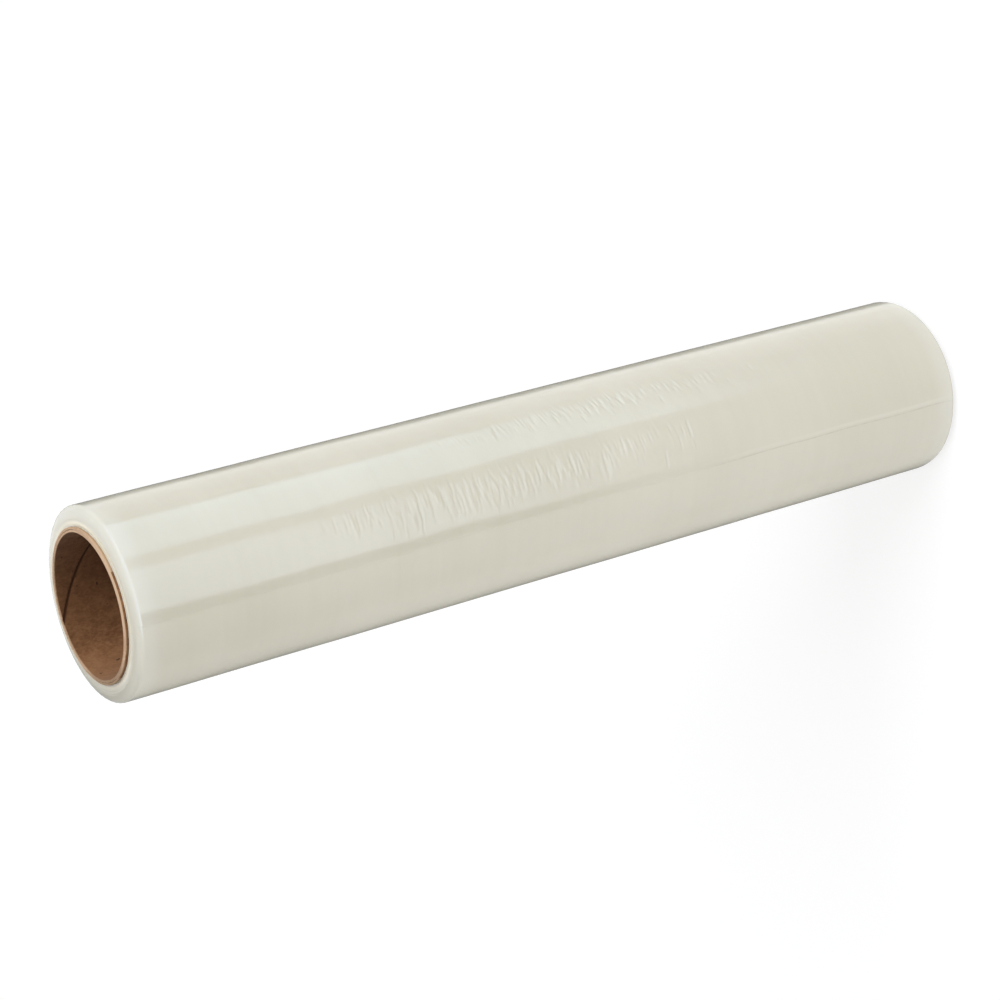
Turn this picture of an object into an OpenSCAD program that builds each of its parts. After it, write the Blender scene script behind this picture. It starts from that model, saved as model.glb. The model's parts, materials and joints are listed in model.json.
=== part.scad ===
// Protective film roll: clear polyethylene film wound on a spirally wound kraft paper core.
// Millimetres. The roll stands on the lower cut end of its core, which is at z = 0, and its
// axis is +Z. The side that faces the viewer is -Y, and angles are counted from +X towards +Y.

/* [Film] */
// Width of the film web, which is the length of the winding along the axis
film_width = 533.4; // [150:0.1:1200]
// Length of film wound on the core, in metres
film_length_m = 60.96; // [30:0.01:150]
// Thickness of the film
film_thickness = 0.0508; // [0.03:0.0001:0.1]
// Radial clearance between the core and the first turn
wind_clearance = 0.05; // [0.02:0.01:0.2]

/* [Film ends] */
// Radial width of the rounded shoulder that the outer turns make at each end
shoulder_width = 7.1; // [2:0.1:9]
// Height along the axis of that rounded shoulder
shoulder_height = 3.7; // [0.5:0.1:8]
// Depth to which the first turns lie below the crown of the film's end
inner_dip = 1.1; // [0.2:0.1:3]
// Depth of the fine rings that the edges of the turns draw on each end
ring_depth = 0.15; // [0.05:0.01:0.3]
// Number of rings on the rounded shoulder
shoulder_rings = 6; // [2:1:10]
// Number of rings between the first turn and the shoulder
inner_rings = 3; // [1:1:6]

/* [Free edge] */
// Direction of the last turn's free edge
tail_angle = -109; // [-180:1:180]
// Height of that edge over the turn below it, with the air caught under it
tail_step = 0.3; // [0.1:0.05:1]

/* [Core] */
// Inner diameter of the paper core
core_bore = 76.2; // [50.8:0.1:152.4]
// Thickness of the core's wall
core_wall = 2.5; // [2.2:0.1:8]
// Length by which each end of the core stands proud of the film
core_proud = 1.5; // [0.5:0.1:6]

/* [Seam in the bore] */
// Width of the paper ply that lines the bore, square to its helical edges
ply_width = 105; // [60:1:130]
// Gap between neighbouring turns of that ply, square to its edges
seam_gap = 0.7; // [0.3:0.1:1.5]
// Thickness of that ply, which is the depth of the seam
seam_depth = 0.4; // [0.2:0.05:0.6]
// Direction in which the seam meets the upper end
seam_angle = 98; // [-180:1:180]

/* [Split plies] */
// Distance from the bore to the split between the plies at each cut end
split_inset = 1.1; // [0.8:0.1:1.4]
// Width of the split
split_gap = 0.25; // [0.1:0.05:0.4]
// Depth of the split
split_depth = 1.5; // [0.5:0.1:4]
// Direction in which the split starts
split_start = -20; // [-60:1:180]
// Angle over which the split runs
split_sweep = 215; // [60:5:215]

/* [Torn outer ply] */
// Thickness of the outermost ply, which is torn away over an arc of the upper end
torn_ply = 0.35; // [0.2:0.05:0.4]
// Depth to which that ply is torn away
torn_depth = 2.4; // [0.5:0.1:5]
// Direction in which the tear starts
torn_start = -162; // [-180:1:180]
// Angle over which the tear runs
torn_sweep = 92; // [20:1:180]

/* [Hidden] */

$fn = 180;
// Length by which a cut runs past the faces that it opens
over = 1;
kraft = [0.62, 0.46, 0.32];
milky = [0.87, 0.87, 0.82];

bore_r = core_bore / 2;
core_r = bore_r + core_wall;
core_length = film_width + 2 * core_proud;

// The film fills a ring around the core, whose section is the film's length times its thickness
first_turn_r = core_r + wind_clearance;
film_r = sqrt(pow(first_turn_r, 2) + film_length_m * 1000 * film_thickness / PI);
shoulder_w = min(shoulder_width, 0.7 * (film_r - first_turn_r));

// A ply of this width covers the bore once in each turn, and that sets the lead of its helix
bore_girth = PI * core_bore;
seam_lead = ply_width / sqrt(1 - pow(ply_width / bore_girth, 2));
seam_height = seam_gap * sqrt(1 + pow(seam_lead / bore_girth, 2));
seam_steps = 36;
seam_rise = seam_lead / seam_steps;
seam_above = ceil((over + seam_height) / seam_rise);
seam_below = ceil((core_length + over + seam_height) / seam_rise);

// The end of the winding has a point at each ring's crest and groove. The points are counted
// inwards, and each is a pair of its radius and its depth below the crown of the end.
function ring_dip(k) = k % 2 == 1 ? ring_depth : 0;

// Over the shoulder they lie on a quarter of an ellipse
function shoulder_point(k, outer_r) =
    let (a = 90 * (1 - k / (2 * shoulder_rings)))
    [outer_r - shoulder_w * (1 - sin(a)), shoulder_height * (1 - cos(a)) + ring_dip(k)];

// From there to the first turn they lie in a shallow bowl
function inner_point(k, outer_r) =
    let (u = k / (2 * inner_rings), crown_r = outer_r - shoulder_w)
    [crown_r - u * (crown_r - first_turn_r), inner_dip * u * u + ring_dip(k)];

function end_points(outer_r) = concat(
    [for (k = [0 : 2 * shoulder_rings - 1]) shoulder_point(k, outer_r)],
    [for (k = [0 : 2 * inner_rings]) inner_point(k, outer_r)],
    [[first_turn_r - over, inner_dip]]
);

// The winding's section on one side of the axis
module film_section(outer_r) {
    ends = end_points(outer_r);
    last = len(ends) - 1;
    polygon(concat(
        [for (p = ends) [p[0], film_width - p[1]]],
        [for (i = [last : -1 : 0]) ends[i]]
    ));
}

// Half a turn of the winding, from its +X side round to its -X side
module half_winding(outer_r) {
    rotate_extrude(angle = 180) film_section(outer_r);
}

// As in a spiral, the two halves meet flush on one side, and on the other their radii differ by
// the step at the free edge. The turns are wound tight, so they are one solid.
module film_winding() {
    color(milky)
    translate([0, 0, core_proud])
    rotate([0, 0, tail_angle])
    difference() {
        union() {
            half_winding(film_r);
            translate([-tail_step / 2, 0, 0])
            rotate([0, 0, 180])
            half_winding(film_r - tail_step / 2);
        }
        translate([0, 0, -over]) cylinder(r = first_turn_r, h = film_width + 2 * over);
    }
}

// Four corners of the seam's section, at step i of its helix counted up from the upper end
function seam_ring(i) =
    let (a = seam_angle + i * 360 / seam_steps, z = core_length + i * seam_rise)
    [for (c = [[-over, -1], [seam_depth, -1], [seam_depth, 1], [-over, 1]])
        [(bore_r + c[0]) * cos(a), (bore_r + c[0]) * sin(a), z + c[1] * seam_height / 2]];

// The helical bar that cuts the seam into the bore
module seam_bar() {
    last = seam_below + seam_above;
    polyhedron(
        points = [for (i = [-seam_below : seam_above]) each seam_ring(i)],
        faces = concat(
            [[3, 2, 1, 0]],
            [for (i = [0 : last - 1], j = [0 : 3])
                [4 * i + j, 4 * i + (j + 1) % 4, 4 * i + 4 + (j + 1) % 4, 4 * i + 4 + j]],
            [[for (j = [0 : 3]) 4 * last + j]]
        )
    );
}

// A ring-shaped cut between two radii and two heights, over part of the turn
module arc_cut(radii, heights, start, sweep) {
    rotate([0, 0, start])
    rotate_extrude(angle = sweep)
    translate([radii[0], heights[0]])
    square([radii[1] - radii[0], heights[1] - heights[0]]);
}

module ply_split(heights) {
    split_r = bore_r + split_inset;
    arc_cut([split_r, split_r + split_gap], heights, split_start, split_sweep);
}

module core_tube() {
    color(kraft)
    difference() {
        cylinder(r = core_r, h = core_length);
        translate([0, 0, -over]) cylinder(r = bore_r, h = core_length + 2 * over);
        seam_bar();
        ply_split([core_length - split_depth, core_length + over]);
        ply_split([-over, split_depth]);
        arc_cut([core_r - torn_ply, core_r + over],
            [core_length - torn_depth, core_length + over], torn_start, torn_sweep);
    }
}

core_tube();
film_winding();
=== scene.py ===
# %% [markdown]
# A roll of protective film. On the real thing a web of clear polyethylene, thinner than a
# hair, is wound two hundred times round a paper core. Each turn is clear, but so many of them
# scatter light like milk, so the roll looks like a solid white body under a glossy skin.
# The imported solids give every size. This lesson dresses them: it builds the winding and the
# plies of the core as surfaces worked out with numpy, and gives them their finish with nodes.

# %% Load the fixed frame
import json
import math

import bpy
import numpy as np
from mathutils import Matrix, Vector


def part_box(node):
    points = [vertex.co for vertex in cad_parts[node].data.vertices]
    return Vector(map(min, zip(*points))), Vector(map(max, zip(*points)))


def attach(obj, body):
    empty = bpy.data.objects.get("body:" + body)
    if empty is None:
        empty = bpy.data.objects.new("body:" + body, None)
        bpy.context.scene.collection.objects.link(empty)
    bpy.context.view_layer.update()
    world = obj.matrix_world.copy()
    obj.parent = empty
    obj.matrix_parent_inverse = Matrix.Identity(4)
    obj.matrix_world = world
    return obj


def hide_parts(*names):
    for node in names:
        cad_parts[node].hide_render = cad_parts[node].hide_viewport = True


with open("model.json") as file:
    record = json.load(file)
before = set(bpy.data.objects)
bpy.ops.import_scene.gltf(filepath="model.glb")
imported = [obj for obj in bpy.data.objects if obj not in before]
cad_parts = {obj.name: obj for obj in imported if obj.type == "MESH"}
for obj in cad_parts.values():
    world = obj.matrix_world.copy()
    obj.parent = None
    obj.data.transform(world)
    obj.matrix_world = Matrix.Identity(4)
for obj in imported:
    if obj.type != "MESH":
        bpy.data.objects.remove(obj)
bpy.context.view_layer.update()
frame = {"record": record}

MM = 0.001

# %% [markdown]
# The frame says how large each piece is, so the sizes below are read from it and not typed
# twice. Only what a box can't tell, such as the shape of the winding's ends, is written here.
# The shoulder is a little lower and the seam a little wider than the solids have them, because
# that is how they look in the photograph.

# %% Sizes of the roll
core_low, core_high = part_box("core_tube")
film_low, film_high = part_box("film_winding")
mounts = {m["name"]: m for m in frame["record"]["mounts"]}

bore_radius = mounts["core_bore"]["dims"]["r_mm"] * MM
core_radius = core_high.x
core_length = core_high.z
film_bottom, film_top = film_low.z, film_high.z
film_radius = max(-film_low.y, film_high.x)
first_turn_radius = core_radius + 0.05 * MM

shoulder_width = 7.1 * MM
shoulder_height = 3.2 * MM
tail_angle = math.radians(-109)
tail_step = 0.3 * MM

liner_thickness = 0.4 * MM
ply_width = 105 * MM
seam_gap = 1.15 * MM
seam_angle = math.radians(98)
split_radius = bore_radius + 1.1 * MM
split_gap = 0.25 * MM
split_depth = 1.5 * MM
split_start, split_end = math.radians(-20), math.radians(195)
torn_ply = 0.35 * MM
torn_depth = 2.4 * MM
torn_start, torn_end = math.radians(-162), math.radians(-70)
print("film radius", round(film_radius / MM, 2), "core radius", round(core_radius / MM, 2), "mm")

# %% [markdown]
# The photograph was taken with a long lens, and the roll lay slanting away from it. The roll
# of this model stands on its end, so the camera turns instead: it looks down at the upper
# end and is rolled until the axis lies across the picture. A camera is easiest to aim with
# a matrix whose columns are its right, its up and its backward direction.

# %% Camera
camera_place = Vector((-0.0032, -1.2804, 1.0597))
camera_down = math.radians(31.019)
camera_roll = math.radians(105.381)
camera_lens = 99.061

forward = Vector((0, math.cos(camera_down), -math.sin(camera_down)))
level_right = Vector((1, 0, 0))
level_up = level_right.cross(forward)
up = level_up * math.cos(camera_roll) + level_right * math.sin(camera_roll)
right = level_right * math.cos(camera_roll) - level_up * math.sin(camera_roll)

camera_data = bpy.data.cameras.new("camera")
camera_data.sensor_width = 36
camera_data.lens = camera_lens
camera_data.clip_start, camera_data.clip_end = 0.05, 30
camera = bpy.data.objects.new("camera", camera_data)
turn = Matrix((right, up, -forward)).transposed()
camera.matrix_world = Matrix.Translation(camera_place) @ turn.to_4x4()
bpy.context.scene.collection.objects.link(camera)
bpy.context.scene.camera = camera
print("camera looks down", round(math.degrees(camera_down), 1), "degrees")

# %% [markdown]
# Shader networks are sums and products of simple patterns, and they read best as such. The
# class below wraps one output of a node tree, and each arithmetic sign adds a Math node.
# Every other node goes through one method, which sets the node's own settings before its
# sockets, because some settings decide which sockets there are.

# %% A wire that can be reckoned with
class Wire:
    """An output socket of a node tree. Signs between wires and numbers add Math nodes."""

    def __init__(self, tree, socket=None):
        self.tree, self.socket = tree, socket

    def node(self, kind, settings=(), sockets=(), out=0):
        """Adds a node and returns one of its outputs; sockets maps a name or place to a value."""
        made = self.tree.nodes.new(kind)
        for name, value in dict(settings).items():
            setattr(made, name, value)
        for name, value in dict(sockets).items():
            if isinstance(value, Wire):
                self.tree.links.new(value.socket, made.inputs[name])
            else:
                made.inputs[name].default_value = value
        return Wire(self.tree, made.outputs[out] if len(made.outputs) else None)

    def math(self, operation, *values):
        """A Math node on these values, in order."""
        return self.node("ShaderNodeMath", {"operation": operation}, dict(enumerate(values)))

    def vector(self, operation, *values, out=0):
        """A Vector Math node on these values, in order."""
        settings = {"operation": operation}
        return self.node("ShaderNodeVectorMath", settings, dict(enumerate(values)), out)

    def __add__(self, other):
        return self.math("ADD", self, other)

    def __mul__(self, other):
        return self.math("MULTIPLY", self, other)

    def __sub__(self, other):
        return self.math("SUBTRACT", self, other)

    def __rsub__(self, other):
        return self.math("SUBTRACT", other, self)

    def __truediv__(self, other):
        return self.math("DIVIDE", self, other)

    __radd__, __rmul__ = __add__, __mul__

    def rise(self, low, high):
        """0 below low, 1 above high, and a smooth step in between."""
        settings = {"interpolation_type": "SMOOTHSTEP"}
        sockets = {"Value": self, "From Min": low, "From Max": high}
        return self.node("ShaderNodeMapRange", settings, sockets)

    def within(self, low, high, soft):
        """1 between low and high, with both edges softened by this much."""
        return self.rise(low - soft, low + soft) * (1 - self.rise(high - soft, high + soft))

    def tint(self, first, second):
        """A colour that goes from first to second as this wire goes from 0 to 1."""
        settings = {"data_type": "RGBA", "clamp_factor": True}
        return self.node("ShaderNodeMix", settings, {0: self, 6: first, 7: second}, out=2)

    def toward(self, bearing, low, high):
        """1 on the side of the axis that faces a bearing in degrees, falling to 0 away from it:
        the dot product of the direction from the axis with the bearing's own direction."""
        outward = self.vector("NORMALIZE", self.vector("MULTIPLY", self, (1, 1, 0)))
        a = math.radians(bearing)
        aim = (math.cos(a), math.sin(a), 0)
        return self.vector("DOT_PRODUCT", outward, aim, out=1).rise(low, high)

    def noise(self, scales, detail=2.0, roughness=0.5, shift=0.0):
        """Fractal noise on this vector, stretched by a scale along each of its axes."""
        mapping = {"Vector": self, "Scale": scales, "Location": (shift,) * 3}
        moved = self.node("ShaderNodeMapping", (), mapping)
        sockets = {"Vector": moved, "Scale": 1.0, "Detail": detail, "Roughness": roughness}
        return self.node("ShaderNodeTexNoise", (), sockets)


def new_material(name):
    """An empty node material, with its Principled shader joined to the output, and its tree."""
    material = bpy.data.materials.new(name)
    material.use_nodes = True
    tree = material.node_tree
    return material, tree, tree.nodes["Principled BSDF"]


def feed(shader, **sockets):
    """Sets or links sockets of a shader; a name's underscores stand for spaces."""
    for name, value in sockets.items():
        socket = shader.inputs[name.replace("_", " ")]
        if isinstance(value, Wire):
            value.tree.links.new(value.socket, socket)
        else:
            socket.default_value = value


print("wires ready")

# %% [markdown]
# A milky cylinder shows little of its own. What the eye reads is what its skin mirrors: two
# tall soft boxes in front, narrow gaps beside them, and the dark room behind. The roll
# mirrors what lies below the horizon, because the camera looks down at it. So the soft boxes
# are drawn in the world's light by direction, for mirror rays alone, and the floor doesn't
# stop those rays. They are painted like layers, each over the ones before it. A lean lets a
# box's sides run aslant, and a tilt its head and foot. Soft light for everything else comes
# from the same world. It is weakest in front on the left, and even where it comes from above.

# %% World: even light, and soft boxes for the skin to mirror
upper_fill = (0.56, 0.56, 0.56, 1)
left_fill, right_fill = (0.38, 0.38, 0.38, 1), (0.75, 0.75, 0.75, 1)
far_left_fill = (0.75, 0.75, 0.73, 1)
room_light = (1.20, 1.18, 1.14, 1)
lean_from = -24
soft_boxes = [
    # bearings, softness of both sides, heights, softness of head and foot, lean of the sides,
    # tilt of head and foot, and the colour, which may pass 1 because it is a light
    ((-182, 60), (1.0, 8.0), (-90, -31), 5.0, 0, 0, (1.15, 1.15, 1.18, 1)),
    ((-182, -118), (1.0, 8.0), (-90, -30), 6.0, 0, 0, (1.55, 1.55, 1.60, 1)),
    ((2, 50), (2.0, 8.0), (-90, 10), 6.0, 0, 0, (1.38, 1.38, 1.38, 1)),
    ((-48, -1), (2.5, 1.5), (-31.9, 90), 2.8, 0, 0.08, (2.65, 3.15, 3.60, 1)),
    ((-116, -64), (2.5, 2.0), (-23.5, 90), 2.5, 0, 0.08, (2.42, 2.75, 3.18, 1)),
    ((-128, -116), (2.5, 1.5), (-25.0, 40), 3.5, 0, 0.08, (0.12, 0.05, 0.02, 1)),
    ((-182, -170), (2.0, 12.0), (-30, 10), 4.0, 0, 0, (1.10, 1.08, 1.02, 1)),
    ((56, 137), (6.0, 34.0), (-90, -10), 4.0, -0.15, 0, (0.14, 0.14, 0.13, 1)),
    ((-182, 182), (1.0, 1.0), (-99, -46), 3.0, 0, 0, (0.60, 0.58, 0.54, 1)),
    ((0, 91), (20.0, 7.0), (8, 99), 6.0, 0, 0, (1.60, 1.65, 1.75, 1)),
    ((93, 170), (6.0, 20.0), (-10, 50), 6.0, 0, 0, (0.30, 0.30, 0.31, 1)),
    ((-140, 0), (10.0, 6.0), (-2, 80), 10.0, 0, 0, (2.60, 3.20, 4.20, 1)),
]

world = bpy.data.worlds.new("studio")
world.use_nodes = True
bpy.context.scene.world = world
studio = Wire(world.node_tree)
ray = {"Vector": studio.node("ShaderNodeTexCoord")}
ray_x, ray_y, ray_z = (studio.node("ShaderNodeSeparateXYZ", (), ray, out=part) for part in range(3))
bearing = studio.math("ARCTAN2", ray_y, ray_x) * math.degrees(1)
height = studio.math("ARCSINE", ray_z) * math.degrees(1)

mirrored = room_light
for (start, end), (start_soft, end_soft), (foot, head), foot_soft, lean, tilt, colour in soft_boxes:
    across = bearing + (height - lean_from) * lean if lean else bearing
    level = height - bearing * tilt if tilt else height
    sides = across.rise(start - start_soft, start + start_soft)
    sides = sides * (1 - across.rise(end - end_soft, end + end_soft))
    mirrored = (sides * level.within(foot, head, foot_soft)).tint(mirrored, colour)

seen = studio.node("ShaderNodeLightPath", out=0)
glossy = studio.node("ShaderNodeLightPath", out=3)
low, behind, to_right = 1 - ray_z.rise(0.3, 0.8), ray_y.rise(-0.35, 0.35), ray_x.rise(-0.35, 0.35)
in_front = to_right.tint(left_fill, right_fill)
at_back = to_right.tint(far_left_fill, upper_fill)
fill = low.tint(upper_fill, behind.tint(in_front, at_back))


def backdrop(colour):
    """A world shader that shines in this colour."""
    return studio.node("ShaderNodeBackground", (), {"Color": colour})


def either(share, first, second):
    """A mix of two shaders. Where the share is 0 or 1, the other one costs no time."""
    return studio.node("ShaderNodeMixShader", (), {0: share, 1: first, 2: second})


light = either(glossy, backdrop(fill), backdrop(mirrored))
light = either(seen, light, backdrop((1, 1, 1, 1)))
world.node_tree.links.new(light.socket, world.node_tree.nodes["World Output"].inputs["Surface"])
print("soft boxes:", len(soft_boxes))

# %% [markdown]
# Two lamps add the direction that the even light lacks. A broad sun stands above the near
# end, on the side that is up in the picture, so it lights the roll's upper flank evenly from
# end to end and reaches into the bore. A weak lamp low down is the light that a table throws
# back.

# %% Lamps
key_bearing, key_height, key_spread, key_strength = -42, 46, 35, 1.46
bounce_bearing, bounce_reach, bounce_power = -141, 1.1, 2.45


def add_lamp(name, kind, place, aim, settings):
    """A lamp at one place that shines at another and isn't mirrored."""
    lamp = bpy.data.lights.new(name, kind)
    for setting, value in settings.items():
        setattr(lamp, setting, value)
    made = bpy.data.objects.new(name, lamp)
    made.location = place
    made.rotation_mode = "QUATERNION"
    made.rotation_quaternion = (aim - place).to_track_quat("-Z", "Y")
    made.visible_camera = False
    made.visible_glossy = False
    bpy.context.scene.collection.objects.link(made)


def direction(bearing, height):
    """A unit vector towards a bearing round the roll and a height, both in degrees."""
    a, h = math.radians(bearing), math.radians(height)
    return Vector((math.cos(a) * math.cos(h), math.sin(a) * math.cos(h), math.sin(h)))


middle = Vector((0, 0, core_length / 2))
sun = {"energy": key_strength, "angle": math.radians(key_spread), "color": (0.97, 1.0, 1.03)}
add_lamp("key", "SUN", middle + direction(key_bearing, key_height) * 2, middle, sun)
card = {"energy": bounce_power, "shape": "RECTANGLE", "size": 0.8, "size_y": 0.2}
table_aim = Vector((0, 0, 0.12))
card_place = table_aim + direction(bounce_bearing, 0) * bounce_reach
add_lamp("bounce", "AREA", card_place, table_aim, card)

bpy.context.scene.view_settings.view_transform = "Standard"
print("key lamp at bearing", key_bearing, "and height", key_height, "degrees")

# %% [markdown]
# The floor is a white sheet that only holds the shadow. What the camera sees of it is a dim
# matt white plus its own glow, which together come to paper white, so a shadow shows as a
# faint grey. Other rays find a plain pale floor, and mirror rays pass it.

# %% Floor
floor_half = 4.0
floor_glow = 0.745
signs = [(-1, -1), (1, -1), (1, 1), (-1, 1)]
floor_mesh = bpy.data.meshes.new("floor")
floor_mesh.from_pydata([(x * floor_half, y * floor_half, 0) for x, y in signs], [], [(0, 1, 2, 3)])
floor = bpy.data.objects.new("floor", floor_mesh)
bpy.context.scene.collection.objects.link(floor)
floor.visible_glossy = False

floor_material, floor_tree, floor_shader = new_material("floor_white")
seen = Wire(floor_tree).node("ShaderNodeLightPath", out=0)
feed(floor_shader, Base_Color=seen.tint((0.8, 0.8, 0.8, 1), (0.30, 0.30, 0.30, 1)))
feed(floor_shader, Roughness=1.0, Specular_IOR_Level=0.0)
feed(floor_shader, Emission_Color=(1, 1, 1, 1), Emission_Strength=seen * floor_glow)
floor_mesh.materials.append(floor_material)
print("floor", 2 * floor_half, "m wide")

# %% [markdown]
# Every surface here is a grid: rows along one direction, columns along the other, and each
# point a function of the two. A ring of turns has no edge at all, because its section is
# a closed line and it runs right round, so both directions wrap and the mesh is watertight
# by itself. The function below turns such a grid of points into a mesh.

# %% From a grid of points to a mesh
def grid_object(name, points, wrap_rows=True, wrap_columns=True, cap=False, sharp=40):
    """A mesh from points[row, column]. Face (i, j) joins rows i and i + 1 at columns j and
    j + 1, and wrapping joins the last to the first. With cap, the first and last columns,
    which are closed lines, are filled."""
    rows, columns = points.shape[:2]
    index = np.arange(rows * columns).reshape(rows, columns)
    down = np.roll(index, -1, axis=0) if wrap_rows else index[1:]
    across = index if wrap_rows else index[:-1]
    a, d = across, down
    b, c = np.roll(a, -1, axis=1), np.roll(d, -1, axis=1)
    if not wrap_columns:
        a, b, c, d = a[:, :-1], b[:, :-1], c[:, :-1], d[:, :-1]
    quads = np.stack([a, d, c, b], axis=-1).reshape(-1, 4)
    faces = quads.tolist()
    if cap:
        faces += [index[::-1, 0].tolist(), index[:, -1].tolist()]
    mesh = bpy.data.meshes.new(name)
    mesh.from_pydata(points.reshape(-1, 3).tolist(), [], faces)
    mesh.shade_smooth()
    mesh.set_sharp_from_angle(angle=math.radians(sharp))
    mesh.validate()
    made = bpy.data.objects.new(name, mesh)
    bpy.context.scene.collection.objects.link(made)
    volume = signed_volume(points, quads) / MM**3
    print(name, "has", len(mesh.polygons), "faces, volume", round(volume), "mm3")
    return made


def signed_volume(points, quads):
    """The volume inside the faces: a sixth of the sum of a . (b x c) over their triangles.
    It is positive when the faces point outwards."""
    p = points.reshape(-1, 3)[quads]
    first = np.einsum("ij,ij->i", p[:, 0], np.cross(p[:, 1], p[:, 2]))
    second = np.einsum("ij,ij->i", p[:, 0], np.cross(p[:, 2], p[:, 3]))
    return (first + second).sum() / 6


def around(radius, angle, z):
    """Points from radius, angle and height, broadcast together: x = r cos a, y = r sin a."""
    radius, angle, z = np.broadcast_arrays(radius, angle, z)
    return np.stack([radius * np.cos(angle), radius * np.sin(angle), z], axis=-1)


def crowded(low, high, count, zones):
    """count values from low to high, closer together inside zones. Their density is 1, plus
    each zone's gain between its ends, and the values split its running sum evenly."""
    fine = np.linspace(low, high, 4000)
    density = np.ones_like(fine)
    for start, end, gain in zones:
        soft = 0.03 * (high - low)
        density += gain / (1 + np.exp(-(fine - start) / soft * 4)) / (1 + np.exp((fine - end) / soft * 4))
    total = np.concatenate([[0], np.cumsum((density[1:] + density[:-1]) / 2)])
    return np.interp(np.linspace(0, total[-1], count), total, fine)


def step(x, low, high):
    """0 below low, 1 above high, and 3t^2 - 2t^3 in between."""
    t = np.clip((x - low) / (high - low), 0, 1)
    return t * t * (3 - 2 * t)


# %% [markdown]
# Wound film is never a perfect cylinder. It holds slow waves from the winder's tension,
# narrow rings where the web is a little thicker, and short puckers where a turn slipped on
# the one below. A sum of waves that fit a whole number of times round the roll gives the
# first two. The puckers are drawn stroke by stroke, each a small ridge with soft ends. They
# lie in two bands along the roll: short shallow ones on its upper flank, and longer ones on
# the side that faces the viewer. Two longer creases have places of their own.

# %% The winding's relief
rng = np.random.default_rng(21)


def waves(angle, z, count, orders, lengths, height):
    """A sum of waves cos(m a + k z + p). m is a whole number from orders, the wavelength along
    the axis is drawn from lengths, p is any phase, and the mean square is height squared."""
    total = np.zeros(np.broadcast(angle, z).shape)
    for _ in range(count):
        order = rng.integers(orders[0], orders[1] + 1) * rng.choice([-1, 1])
        length = np.exp(rng.uniform(*np.log(lengths)))
        total += np.cos(order * angle + 2 * np.pi / length * z + rng.uniform(0, 2 * np.pi))
    return total * height * math.sqrt(2 / count)


def strokes(angle, z, places, reach, lean, height):
    """A sum of ridges. Each has a bell-shaped section along the axis, stands on a line that
    leans by lean, and fades along it as a bell does. places holds a centre angle and height,
    reach its length, and both are arrays with one value a stroke."""
    total = np.zeros(np.broadcast(angle, z).shape)
    for (a, h), long, slope, tall in zip(places, reach, lean, height):
        along = (angle - a) * film_radius
        off = z - h - slope * along - 0.4 * MM * np.sin(along / (1.7 * MM))
        wide = rng.uniform(0.8, 1.3) * MM
        near = (off / wide) ** 2 + (along / long) ** 4
        total += tall * (1 - 0.8 * (off / wide) ** 2) * np.exp(-near)
    return total


pucker_count = 460
upper_band = np.arange(pucker_count) % 5 < 2
pucker_bearing = np.where(upper_band, rng.triangular(-60, -49, -44, pucker_count),
                          rng.triangular(-98, -84, -75, pucker_count))
pucker_middle = np.where(upper_band, 0.245, 0.312)
pucker_z = pucker_middle + np.clip(rng.normal(0, 0.056, pucker_count), -0.12, 0.14)
pucker_places = np.stack([np.radians(pucker_bearing), pucker_z], axis=-1)
short_reach = rng.uniform(1.5, 3.5, pucker_count) * MM
long_reach = rng.uniform(2.0, 5.5, pucker_count) * MM
pucker_reach = np.where(upper_band, short_reach, long_reach)
pucker_lean = rng.normal(-0.10, 0.09, pucker_count)
pucker_height = rng.uniform(0.03, 0.13, pucker_count) * MM * rng.choice([-1, -1, 1], pucker_count)
pucker_height *= np.where(upper_band, 0.6, 0.88)

crease_place = np.array([(math.radians(-89), 0.368), (math.radians(-84), 0.397)])
crease_reach, crease_lean = np.array([11.5, 6.0]) * MM, np.array([-0.03, -0.06])
crease_height = np.array([-0.17, -0.10]) * MM


def skin_relief(angle, z):
    """Height of the outer turn over a true cylinder: slow waves, gauge rings and puckers."""
    slow = waves(angle, z, 40, (2, 9), (0.06, 0.40), 0.035 * MM)
    uneven = waves(angle, z, 90, (3, 16), (0.016, 0.09), 0.008 * MM)
    gauge = waves(angle, z, 30, (0, 1), (0.010, 0.08), 0.004 * MM)
    puckers = strokes(angle, z, pucker_places, pucker_reach, pucker_lean, pucker_height)
    crease = strokes(angle, z, crease_place, crease_reach, crease_lean, crease_height)
    return slow + uneven + gauge + puckers + crease


# %% [markdown]
# The last turn ends in a free edge that runs the length of the roll. The film is thin, so
# the step there is small: the turn settles on the one below as it nears its edge, and curls
# up a little just before it. Each column's radius is lowered by a drop that grows evenly
# round the roll, as in any spiral, and the settling and the curl are bells added to it. The
# curl fades out on the upper part of the roll, where the photograph shows no line.

# %% Columns round the winding
lip_step = 0.09 * MM
front_from, front_to = math.radians(2), math.radians(66)

edge_arc = np.array([0.12, 0.35, 0.8, 1.4, 2.1, 2.9]) * MM / film_radius
plain_columns = crowded(0, 2 * np.pi, 98, [(front_from, front_to, 3.2)])
beyond = (plain_columns > edge_arc[-1] * 1.2) & (plain_columns < 2 * np.pi - edge_arc[-1] * 1.2)
column_turn = np.concatenate([[0], edge_arc, plain_columns[beyond], 2 * np.pi - edge_arc[:0:-1]])
column_turn = np.append(column_turn, 2 * np.pi - 0.1 * MM / film_radius)
from_edge = column_turn * film_radius
settled = (tail_step - lip_step) * np.exp(-(from_edge / (20 * MM)) ** 2)
curl = 0.05 * MM * np.exp(-((from_edge - 2.5 * MM) / (0.9 * MM)) ** 2)
column_drop = tail_step * column_turn / (2 * np.pi) + settled
curl_ends = 0.15, 0.20
print("columns round the winding:", len(column_turn))

# %% [markdown]
# The rows run down the outer skin, over the rounded shoulder to the crown of the lower end,
# into the shallow bowl by the core, up the inner wall and back over the upper end. They
# crowd together where the puckers are. On the ends the edges of the turns draw a spiral,
# which is a wave in the radius whose phase goes once round with the angle. The whole surface
# lies a hair inside the solid, so that its waves don't pass it.

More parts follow.
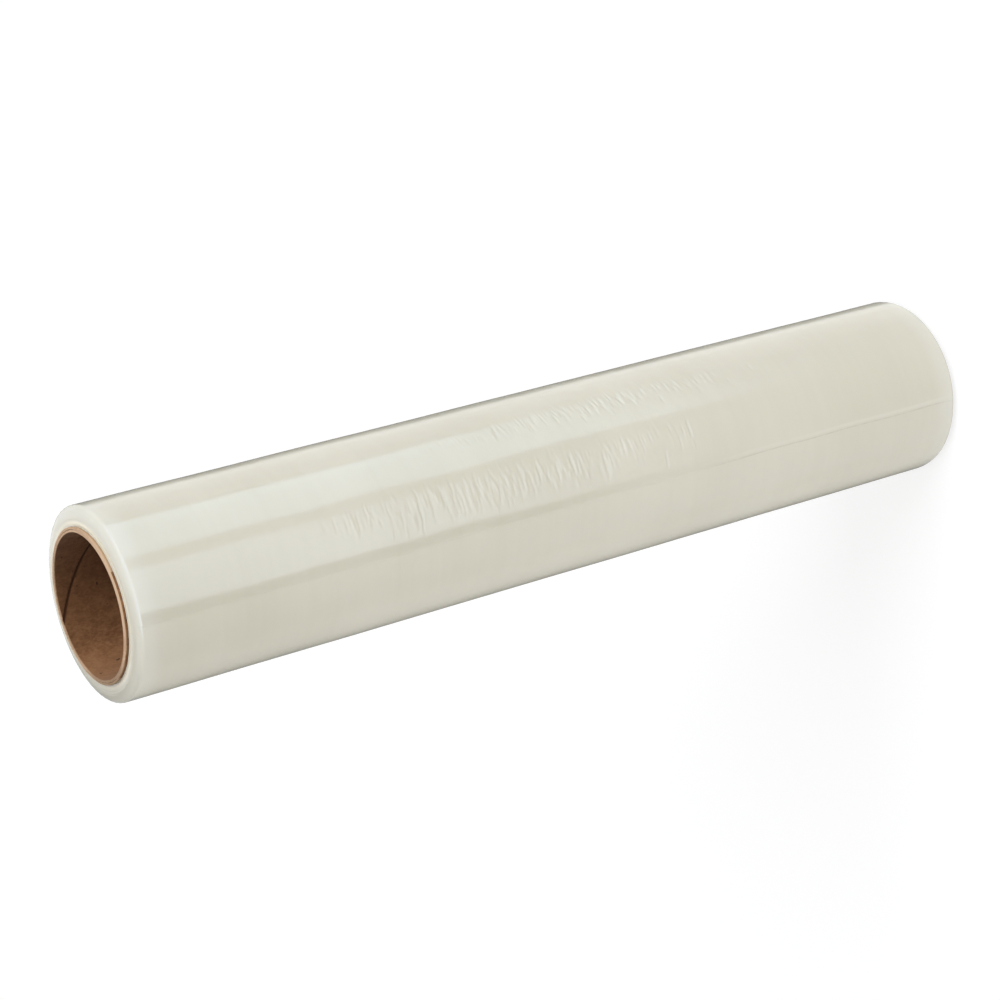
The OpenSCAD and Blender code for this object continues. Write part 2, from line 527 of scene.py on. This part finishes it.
# %% Rows of the winding, and the piece
build = film_radius - first_turn_radius
seen_dip = 0.1 * MM
skin_inset, end_inset = 0.16 * MM, 0.20 * MM
shoulder_rows, bowl_rows, skin_rows = 30, 20, 780

shoulder_turn = np.linspace(0, np.pi / 2, shoulder_rows)
shoulder_share = 1 - shoulder_width / build * (1 - np.sin(shoulder_turn))
shoulder_depth = shoulder_height * (1 - np.cos(shoulder_turn))
bowl = np.linspace(1, 0, bowl_rows, endpoint=False)
bowl_share = (1 - shoulder_width / build) * (1 - bowl)
bowl_depth = seen_dip * bowl**2
end_share = np.concatenate([bowl_share, shoulder_share])
end_depth = np.concatenate([bowl_depth, shoulder_depth])

skin_ends = film_bottom + shoulder_height, film_top - shoulder_height
skin_z = crowded(*skin_ends, skin_rows, [(0.125, 0.42, 2.6)])[-2:0:-1]
wall_z = np.linspace(film_bottom + seen_dip, film_top - seen_dip, 6)[1:-1]

row_share = np.concatenate([end_share, np.ones(len(skin_z)), end_share[::-1], np.zeros(len(wall_z))])
row_z = np.concatenate([film_top - end_depth, skin_z, film_bottom + end_depth[::-1], wall_z])
row_counts = [len(end_share), len(skin_z), len(end_share), len(wall_z)]
row_end = np.repeat([1.0, 0.0, -1.0, 0.0], row_counts)


def winding_points():
    """Radius = first turn + share of the build, less the spiral's drop and plus the relief,
    both scaled by the share, so that they fade towards the core."""
    z, turn = row_z[:, None], column_turn[None, :]
    wobble = waves(0 * turn, z, 8, (0, 0), (0.05, 0.3), 0.25 * MM) / film_radius
    near_tail = np.exp(-(np.minimum(turn, 2 * np.pi - turn) * film_radius / (8 * MM)) ** 2)
    angle = tail_angle + turn + wobble * near_tail
    share = row_share[:, None]
    wrapped = (angle + np.pi) % (2 * np.pi) - np.pi
    relief = skin_relief(wrapped, z) + curl * (1 - step(z, *curl_ends)) - skin_inset
    radius = first_turn_radius + share * (build - column_drop[None, :] + relief * share**2)
    spiral = sum(
        high * MM * np.cos(2 * np.pi * radius / (pitch * MM) - turn + phase)
        for pitch, high, phase in [(2.3, 0.014, 0.4), (1.35, 0.012, 2.0), (0.86, 0.010, 4.1)]
    )
    flat = share * (1 - share) * 4
    weave = waves(angle, radius, 12, (1, 5), (0.003, 0.014), 0.03 * MM)
    z = z + row_end[:, None] * ((spiral + weave) * flat - end_inset * (share > 0))
    return around(radius, angle, z)


film = grid_object("film_winding_turns", winding_points(), sharp=50)
edge_distance = film.data.attributes.new("from_edge", "FLOAT", "POINT")
edge_distance.data.foreach_set("value", np.tile(from_edge, len(row_z)).astype(np.float32))
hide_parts("film_winding")
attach(film, "root")

# %% [markdown]
# The core is wound from strips of kraft paper. The strip that lines the bore is a ribbon
# laid in a helix, and the dark line in the bore is the gap between its neighbouring turns.
# So the ribbon is built as one: a closed section carried along a helix, and trimmed to the
# core's two cut ends by squeezing each section between them.

# %% Liner ply, a ribbon wound in a helix
girth = 2 * np.pi * bore_radius
seam_lead = ply_width / math.sqrt(1 - (ply_width / girth) ** 2)
seam_height = seam_gap * math.sqrt(1 + (seam_lead / girth) ** 2)
edge_round = 0.22 * MM
sliver = 0.5 * MM


def liner_points(steps_per_turn=96, across=14):
    """The upper edge rises by the lead in each turn and meets the upper cut at the seam's
    angle. Point t of the section is at height low + t (high - low), both kept between the
    cuts. The bore side's radius grows near the ribbon's edges, which rounds them."""
    first = (sliver + seam_height / 2 - core_length) / seam_lead * 2 * np.pi
    last = (seam_lead - seam_height / 2 - sliver) / seam_lead * 2 * np.pi
    count = int((last - first) / (2 * np.pi) * steps_per_turn)
    turn = np.linspace(first, last, count)
    edge = core_length + seam_lead * turn / (2 * np.pi)
    high = np.clip(edge - seam_height / 2, 0, core_length)
    low = np.clip(edge - seam_lead + seam_height / 2, 0, core_length)
    t = 0.5 - 0.5 * np.cos(np.linspace(0, np.pi, across))
    side = np.concatenate([t, t[::-1]])[:, None]
    z = low + side * (high - low)
    rim = np.minimum(z - low, high - z)
    uncut = (z > 0.02 * MM) & (z < core_length - 0.02 * MM)
    round_in = edge_round * np.exp(-(rim / (0.35 * MM)) ** 2) * uncut
    face = np.arange(2 * across)[:, None] < across
    ripple = waves(turn[None, :] % (2 * np.pi), z, 20, (1, 6), (0.01, 0.08), 0.02 * MM)
    radius = np.where(face, bore_radius + round_in + 0.03 * MM + ripple, bore_radius + liner_thickness)
    return around(radius, seam_angle + turn, z)


liner = grid_object("core_liner_ply", liner_points(), wrap_columns=False, cap=True, sharp=35)
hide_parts("core_tube")
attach(liner, "root")

# %% [markdown]
# The other plies are glued into one wall. Only its cut ends show, standing proud of the
# film: a rough tan ring with a split where two plies have come apart, and an outermost ply
# that is torn off over a quarter of the upper end. The wall is a closed section turned
# round the axis, and each of these is a term in its radius or height.

# %% Wall of the core
wall_columns = 420


def opened(angle, start, end, soft=0.05):
    """1 where the angle lies between start and end, going round, with soft ends."""
    along = (angle - start) % (2 * np.pi)
    sweep = end - start
    return step(along, 0, soft) * (1 - step(along, sweep - soft, sweep))


def cut_ring(count_in, count_out):
    """Radii of the rows on a cut end, from the liner to the outside, with two close pairs at
    the split."""
    inner = np.linspace(bore_radius + liner_thickness, split_radius, count_in)
    outer = np.linspace(split_radius + split_gap, core_radius, count_out)
    return np.concatenate([inner, [split_radius + 0.02 * MM, split_radius + split_gap - 0.02 * MM], outer])


def wall_points():
    """The section runs out over the upper cut, down the outside, in under the lower cut and
    up the bore. Depths on the cuts: paper roughness, the split and a rounded outer edge."""
    angle = np.linspace(0, 2 * np.pi, wall_columns, endpoint=False)[None, :]
    radii = cut_ring(6, 10)
    in_split = (np.arange(len(radii)) == 6) | (np.arange(len(radii)) == 7)
    edge = step(radii, core_radius - 0.5 * MM, core_radius)
    rough = waves(angle, radii[:, None], 60, (3, 60), (0.0006, 0.004), 0.045 * MM)
    swell = waves(angle, 0 * radii[:, None], 10, (1, 7), (0.1, 1.0), 0.06 * MM)
    split = opened(angle, split_start, split_end) * in_split[:, None] * split_depth
    cut = np.abs(rough) + np.abs(swell) + 0.25 * MM * edge[:, None] ** 2 + split
    torn = opened(angle, torn_start, torn_end, soft=0.03)
    ply = torn_ply * torn * step(radii, core_radius - 0.6 * MM, core_radius)[:, None]
    top = around(radii[:, None] - ply, angle, core_length - cut)
    base = around(radii[::-1, None], angle, cut[::-1] * 0.6)

    depth = np.concatenate([np.linspace(0.4, 2.0, 5), [2.3, 2.5, 2.8, 4.0]]) * MM
    tear = torn_ply * torn * (1 - step(depth, torn_depth - 0.15 * MM, torn_depth + 0.15 * MM))[:, None]
    flank = waves(angle, depth[:, None], 40, (4, 40), (0.002, 0.01), 0.02 * MM)
    outside_top = around(core_radius - tear - np.abs(flank), angle, core_length - depth[:, None])
    plain = np.linspace(core_length - 8 * MM, 8 * MM, 12)[:, None]
    outside = around(core_radius, angle, plain)
    outside_base = around(core_radius, angle, np.array([4.0, 2.0, 1.0, 0.5])[:, None] * MM)
    inside = np.linspace(2 * MM, core_length - 2 * MM, 30)[:, None]
    bore = around(bore_radius + liner_thickness + 0.02 * MM, angle, inside)
    return np.concatenate([top, outside_top, outside, outside_base, base, bore])


wall = grid_object("core_wall_plies", wall_points(), sharp=40)
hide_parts("core_tube")
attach(wall, "root")

# %% [markdown]
# Milky film: light goes in, scatters between the turns and comes out a little way off, which
# is subsurface scattering, and the smooth skin adds a clear mirror on top. The colour is
# a warm grey white. Close to the core the paper shows through, so the ends turn cream there.
# That cream is partly painted light, which offsets the shade in the corner by the core: it is
# stronger towards bearing -75 and has painted shade towards bearing 155. The rim of each
# shoulder gets a paler painted highlight. Painted shade darkens that rim towards bearings 5
# and 135, and the ends towards bearing 155, as in the photograph. The free edge gets a painted
# shadow line, with a painted highlight line beside it.
# All patterns read Object coordinates, stretched: long round the roll and short along it.

# %% Film finish
film_colour = (0.705, 0.675, 0.572, 1)
film_deep = (0.660, 0.630, 0.524, 1)
edge_painted_highlight = (0.730, 0.706, 0.610, 1)
end_painted_shade = (0.520, 0.500, 0.420, 1)
edge_painted_shadow = (0.450, 0.400, 0.310, 1)
rim_painted_highlight = (0.735, 0.717, 0.632, 1)
cream_and_painted_light = (1.000, 0.920, 0.720, 1)
cream_painted_shade = (0.680, 0.590, 0.430, 1)



def split_place(tree):
    """Object coordinates as a vector, then x, y and z, and the distance from the axis."""
    place = Wire(tree).node("ShaderNodeTexCoord", out=3)
    x, y, z = (place.node("ShaderNodeSeparateXYZ", (), {0: place}, out=part) for part in range(3))
    return place, x, y, z, place.math("SQRT", x * x + y * y)


def ring_noise(reach, x, y, fine, coarse):
    """Noise that is fine across the radius and coarse round the axis, so it draws rings."""
    point = reach.node("ShaderNodeCombineXYZ", (), {0: reach * fine, 1: x * coarse, 2: y * coarse})
    return reach.node("ShaderNodeTexNoise", (), {"Vector": point, "Scale": 1.0, "Detail": 2.0})


film_material, film_tree, film_shader = new_material("milky_film")
place, place_x, place_y, place_z, reach = split_place(film_tree)

rings = place.noise((4, 4, 160), detail=3.0)
streaks = place.noise((30, 30, 420), detail=2.0, shift=3.0)
cloud = place.noise((9, 9, 14), detail=2.0, shift=7.0)
on_end = reach.rise(film_radius - 6 * MM, film_radius - 1 * MM)
turn_lines = ring_noise(reach, place_x, place_y, 2600, 9)
near_core = 1 - reach.rise(first_turn_radius + 1.8 * MM, first_turn_radius + 3.8 * MM)
depth_mix = rings * 0.20 + streaks * 0.08 + cloud * 0.72
colour = depth_mix.rise(0.25, 0.75).tint(film_deep, film_colour)
from_free_edge = place.node("ShaderNodeAttribute", {"attribute_name": "from_edge"}, out=2)
lifted = 1 - place_z.rise(*curl_ends)
# Painted highlight and painted shadow along the lifted free edge.
highlight_line = from_free_edge.within(1.6 * MM, 3.3 * MM, 0.5 * MM) * on_end * lifted * 0.55
colour = highlight_line.tint(colour, edge_painted_highlight)
shadow_line = (1 - from_free_edge.rise(0.3 * MM, 0.9 * MM)) * on_end * lifted * streaks.rise(0.0, 0.8)
colour = (shadow_line * 0.4).tint(colour, edge_painted_shadow)
from_rim = place.math("MINIMUM", place_z - film_bottom, film_top - place_z)
# Painted highlight: a paler rim on each shoulder.
at_rim = reach.rise(45.0 * MM, 49.5 * MM) * (1 - from_rim.rise(3.0 * MM, 18.0 * MM))
colour = (at_rim * 0.9).tint(colour, rim_painted_highlight)
# Painted shade on the rim towards bearings 5 and 135, and on the ends towards bearing 155.
rim_painted_shade = place.toward(5, 0.75, 1.0) * 0.4 + place.toward(135, 0.75, 0.97) * 0.6
colour = (at_rim * rim_painted_shade).tint(colour, end_painted_shade)
lit_side = place.toward(-75, 0.0, 0.9)
shaded_side = place.toward(155, 0.5, 0.95)
colour = (shaded_side * (1 - on_end) * 0.8).tint(colour, end_painted_shade)
# Cream where the paper shows through, partly painted light: stronger towards bearing -75, with painted
# shade towards bearing 155.
colour = (near_core * (lit_side * 0.55 + 0.45)).tint(colour, shaded_side.tint(cream_and_painted_light, cream_painted_shade))

ragged = place.noise((210, 210, 210), detail=2.0, shift=11.0)
height_map = (rings - 0.5) * 0.006 + (streaks - 0.5) * 0.002 + (ragged - 0.5) * 0.05
height_map = height_map + (1 - on_end) * (turn_lines - 0.5) * 0.05
bump = place.node("ShaderNodeBump", (), {"Height": height_map, "Strength": 1.0, "Distance": MM})
feed(film_shader, Base_Color=colour, Normal=bump)
feed(film_shader, Roughness=(streaks * 0.05 + 0.10) + (1 - on_end) * 0.12)
feed(film_shader, IOR=1.5, Subsurface_Weight=0.6, Subsurface_Scale=0.004)
feed(film_shader, Subsurface_Radius=(1.0, 0.92, 0.75))
film.data.materials.append(film_material)
print("film finish:", len(film_tree.nodes), "nodes")

# %% [markdown]
# Kraft paper is matt and mottled: long brown fibres, darker specks, and on a cut end a paler
# tan with the plies as thin rings. The same material serves both pieces of the core. It tells
# a cut end from the rest by height, and there it draws rings by the distance from the axis.
# The gap between the liner's turns is darker, since little light gets in. In the bore the
# paper gets painted shade towards bearing 55 and painted light towards bearing 160.

# %% Kraft paper finish
kraft_dark = (0.185, 0.078, 0.029, 1)
kraft_light = (0.370, 0.183, 0.084, 1)
speck_brown = (0.050, 0.022, 0.010, 1)
seam_brown = (0.066, 0.024, 0.008, 1)
cut_dark = (0.430, 0.255, 0.140, 1)
cut_light = (0.740, 0.520, 0.350, 1)
cut_bright = (0.690, 0.485, 0.325, 1)
cut_dull = (0.240, 0.150, 0.085, 1)
bore_painted_shade = (0.110, 0.048, 0.018, 1)
bore_painted_light = (0.440, 0.224, 0.105, 1)
ply_side = (0.340, 0.215, 0.118, 1)

paper_material, paper_tree, paper_shader = new_material("kraft_paper")
place, place_x, place_y, place_z, reach = split_place(paper_tree)

mottle = place.noise((230, 230, 210), detail=6.0, roughness=0.68)
fibre = place.noise((900, 900, 520), detail=3.0, shift=2.0)
speck = place.noise((480, 480, 480), detail=0.0, shift=5.0).rise(0.80, 0.83)
paper = (mottle * 0.6 + fibre * 0.4).rise(0.32, 0.70).tint(kraft_dark, kraft_light)
# Painted shade on the bore wall towards bearing 55, and painted light towards bearing 160.
paper = (place.toward(55, 0.2, 1.0) * 0.54).tint(paper, bore_painted_shade)
paper = (place.toward(160, 0.7, 1.0) * 0.5).tint(paper, bore_painted_light)
paper = (speck * 0.8).tint(paper, speck_brown)
in_gap = reach.within(bore_radius + 0.26 * MM, bore_radius + 0.6 * MM, 0.10 * MM)
paper = in_gap.tint(paper, seam_brown)

from_end = place.math("MINIMUM", place_z, core_length - place_z)
outer_ply = reach.rise(core_radius - 0.25 * MM, core_radius - 0.05 * MM)
cut_depth = outer_ply * 2.4 * MM + 0.5 * MM
cut_mask = 1 - (from_end - cut_depth).rise(-0.2 * MM, 0.2 * MM)
ply_rings = ring_noise(reach, place_x, place_y, 3000, 60)
cut = (ply_rings * 0.6 + fibre * 0.4).rise(0.3, 0.7).tint(cut_dark, cut_light)
cut = place.toward(-80, 0.5, 1.0).tint(cut, cut_bright)
cut = (place.toward(180, 0.7, 0.95) * 0.55).tint(cut, cut_dull)
paper = cut_mask.tint(paper, cut)
below_cut = outer_ply * from_end.rise(0.1 * MM, 1.1 * MM) * cut_mask
paper = (below_cut * 0.75).tint(paper, ply_side)

grain = (mottle - 0.5) * 0.06 + (fibre - 0.5) * 0.06 + cut_mask * (ply_rings - 0.5) * 0.08
bump = place.node("ShaderNodeBump", (), {"Height": grain, "Strength": 1.0, "Distance": MM})
feed(paper_shader, Base_Color=paper, Normal=bump, Roughness=fibre * 0.15 + 0.78)
feed(paper_shader, Specular_IOR_Level=0.1, Sheen_Weight=0.08, Sheen_Roughness=0.6)
for piece in (liner, wall):
    piece.data.materials.append(paper_material)
print("paper finish:", len(paper_tree.nodes), "nodes")
